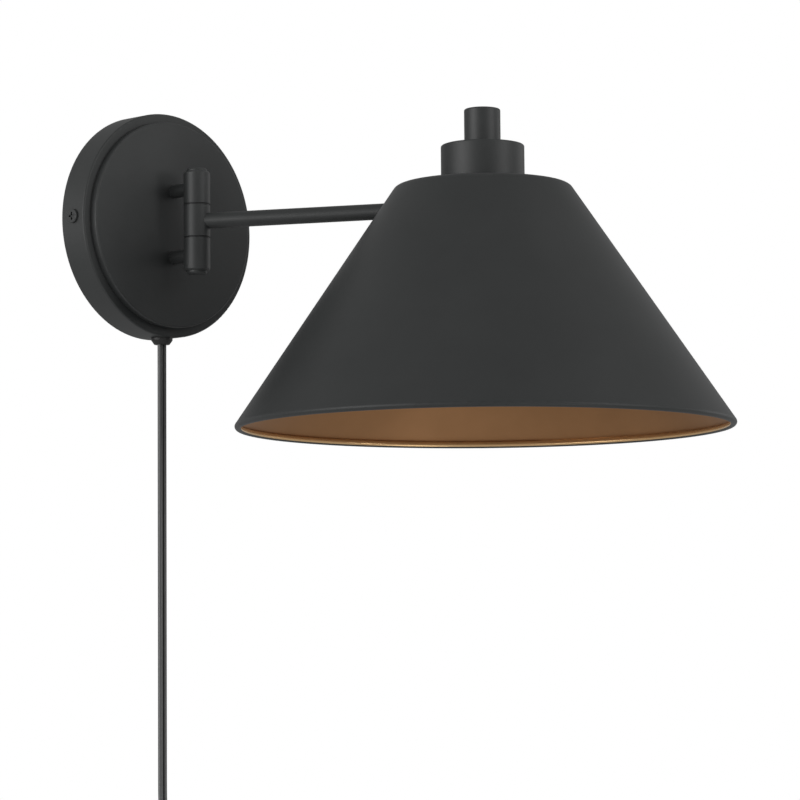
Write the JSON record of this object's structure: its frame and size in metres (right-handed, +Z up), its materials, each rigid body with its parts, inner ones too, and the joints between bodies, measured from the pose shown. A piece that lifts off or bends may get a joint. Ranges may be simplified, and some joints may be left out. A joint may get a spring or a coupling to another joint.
{
  "type": "swing arm wall sconce",
  "caption": "Plug-in wall sconce: round stepped backplate, straight arm swinging on a barrel knuckle, open cone shade with a rotary switch knob on its cap, and a hanging flat cord.",
  "frame": {"origin": "centre of the round backplate, on the wall plane", "axes": "+Y into the wall, -Y out into the room, +Z up; the arm rests swung 27 degrees from straight out towards +X"},
  "size_m": [0.2611, 0.3074, 0.5539],
  "materials": {
    "black_metal": "matte black powder coat",
    "shade_metal": "matte black outside, satin bronze-gold inside",
    "zinc_steel": "zinc plated",
    "nylon": "black nylon",
    "phenolic": "moulded black phenolic",
    "porcelain": "unglazed white porcelain",
    "fibre": "pressed insulating fibre",
    "brass": "plain brass",
    "cord_pvc": "black flat twin PVC cord",
    "plug_pvc": "black moulded PVC",
    "tie_plastic": "black plastic strap",
    "wire_pvc": "black insulated wire",
    "connector_plastic": "cream crimp connector"
  },
  "bodies": {
    "base": {"backplate_cover": "black_metal", "wall_bracket": "zinc_steel", "side_screws": "black_metal", "upper_post": "black_metal", "lower_post": "black_metal", "post_washers": "zinc_steel", "post_nuts": "zinc_steel", "upper_barrel": "black_metal", "lower_barrel": "black_metal", "pivot_tube": "zinc_steel", "top_button": "black_metal", "bottom_button": "black_metal", "thrust_washers": "nylon", "cord_bushing": "nylon", "inner_cord": "cord_pvc", "lead_wires": "wire_pvc", "wire_connectors": "connector_plastic", "power_cord": "cord_pvc", "cord_coil": "cord_pvc", "cord_tail": "cord_pvc", "cord_tie": "tie_plastic", "plug_body": "plug_pvc", "plug_blades": "brass"},
    "arm": {"swing_hub": "black_metal", "arm_tube": "black_metal", "head_hub": "zinc_steel", "nipple": "zinc_steel", "shade": "shade_metal", "cap_plate": "zinc_steel", "lock_washer": "zinc_steel", "shade_nut": "zinc_steel", "switch_cap": "black_metal", "switch_body": "phenolic", "switch_nut": "zinc_steel", "holder_body": "phenolic", "holder_insulator": "porcelain", "screw_shell": "brass", "holder_liner": "fibre", "centre_contact": "brass"},
    "knob": {"switch_shaft": "zinc_steel", "switch_knob": "black_metal"}
  },
  "joints": [
    {"name": "arm_swing", "type": "hinge", "parent": "base", "child": "arm", "pos_m": [0, -0.039, 0], "axis": [0, 0, 1], "range_deg": [-81, 27]},
    {"name": "switch_turn", "type": "hinge", "parent": "arm", "child": "knob", "pos_m": [0.07128, -0.17889, 0.04], "axis": [0, 0, 1], "continuous": true}
  ]
}
